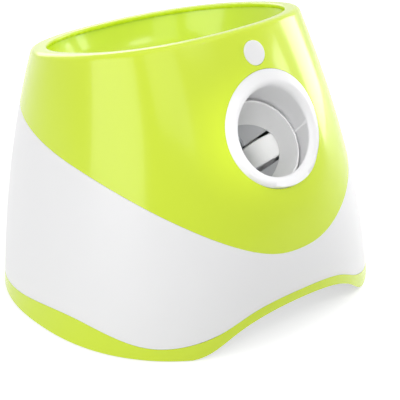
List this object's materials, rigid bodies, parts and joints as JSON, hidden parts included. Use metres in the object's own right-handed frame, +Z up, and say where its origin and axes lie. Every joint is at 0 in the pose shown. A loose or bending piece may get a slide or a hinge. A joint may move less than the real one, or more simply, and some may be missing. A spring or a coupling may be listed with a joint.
{
  "type": "automatic dog ball launcher",
  "caption": "Free-standing dog ball launcher: sloping open ball bowl, tilted round outlet with two flywheels, turning feed rotor below the bowl, white and lime shell with arched front.",
  "frame": {"origin": "on the floor under the middle of the body's outline", "axes": "+Z up, the outlet faces -Y, +X to the right seen from the front"},
  "size_m": [0.2594, 0.2495, 0.1992],
  "materials": {
    "lime_plastic": "gloss",
    "white_plastic": "satin gloss",
    "base_plastic": "matte",
    "feed_plastic": "matte",
    "soft_white": "matte",
    "black_rubber": "matte",
    "steel": "satin",
    "motor_steel": "satin",
    "bronze": "satin",
    "gear_plastic": "matte",
    "board": "satin",
    "chip": "matte",
    "battery_wrap": "gloss",
    "grey_plastic": "matte",
    "light_plastic": "gloss",
    "dark_plastic": "gloss"
  },
  "bodies": {
    "housing": {"upper_shell": "lime_plastic", "lower_shell": "white_plastic", "base_skirt": "lime_plastic", "hopper_bowl": "lime_plastic", "base_plate": "base_plastic", "rubber_feet": "black_rubber", "outlet_ring": "white_plastic", "barrel_tube": "white_plastic", "feed_chute": "feed_plastic", "sensor_window": "white_plastic", "sensor_board": "board", "motion_sensor": "motor_steel", "flywheel_motor_left": "motor_steel", "flywheel_motor_right": "motor_steel", "motor_frame": "grey_plastic", "motor_screws": "steel", "feed_stand": "grey_plastic", "rotor_bushings": "bronze", "drive_motor": "motor_steel", "drive_bracket": "steel", "drive_screws": "steel", "chute_screws": "steel", "ball_sensor_lamp": "dark_plastic", "ball_sensor_eye": "dark_plastic", "battery_pack": "battery_wrap", "main_board": "board", "board_parts": "chip", "board_screws": "steel", "control_panel": "white_plastic", "status_lights": "light_plastic", "control_board": "board", "button_switches": "chip", "panel_posts": "white_plastic", "dc_socket": "dark_plastic", "pillar_screws": "steel", "shell_screws": "steel"},
    "flywheel_left": {"flywheel_hub_left": "white_plastic", "flywheel_tyre_left": "soft_white", "flywheel_shaft_left": "steel"},
    "flywheel_right": {"flywheel_hub_right": "white_plastic", "flywheel_tyre_right": "soft_white", "flywheel_shaft_right": "steel"},
    "rotor": {"feed_rotor": "gear_plastic", "rotor_spacers": "gear_plastic", "rotor_shaft": "steel", "rotor_gear": "gear_plastic"},
    "pinion": {"drive_pinion": "bronze", "drive_shaft": "steel"},
    "power_button": {"power_button": "grey_plastic"},
    "distance_button": {"distance_button": "grey_plastic"}
  },
  "joints": [
    {"name": "flywheel_left_spin", "type": "hinge", "parent": "housing", "child": "flywheel_left", "pos_m": [-0.052, -0.04822, 0.09793], "axis": [0, 0.6428, 0.766], "continuous": true},
    {"name": "flywheel_right_spin", "type": "hinge", "parent": "housing", "child": "flywheel_right", "pos_m": [0.052, -0.04822, 0.09793], "axis": [0, 0.6428, 0.766], "continuous": true},
    {"name": "feed_rotor_spin", "type": "hinge", "parent": "housing", "child": "rotor", "pos_m": [0, 0.03393, 0.06319], "axis": [1, 0, 0], "continuous": true},
    {"name": "drive_pinion_spin", "type": "hinge", "parent": "housing", "child": "pinion", "pos_m": [0, 0.04693, 0.04068], "axis": [1, 0, 0], "continuous": true},
    {"name": "power_button_press", "type": "slide", "parent": "housing", "child": "power_button", "axis": [0, -1, 0], "range_m": [0, 0.0012], "stiffness_N_per_m": 900, "springref_m": -0.0006},
    {"name": "distance_button_press", "type": "slide", "parent": "housing", "child": "distance_button", "axis": [0, -1, 0], "range_m": [0, 0.0012], "stiffness_N_per_m": 900, "springref_m": -0.0006}
  ],
  "couplings": [
    {"joint": "drive_pinion_spin", "follows": "feed_rotor_spin", "ratio": -3.3333}
  ]
}
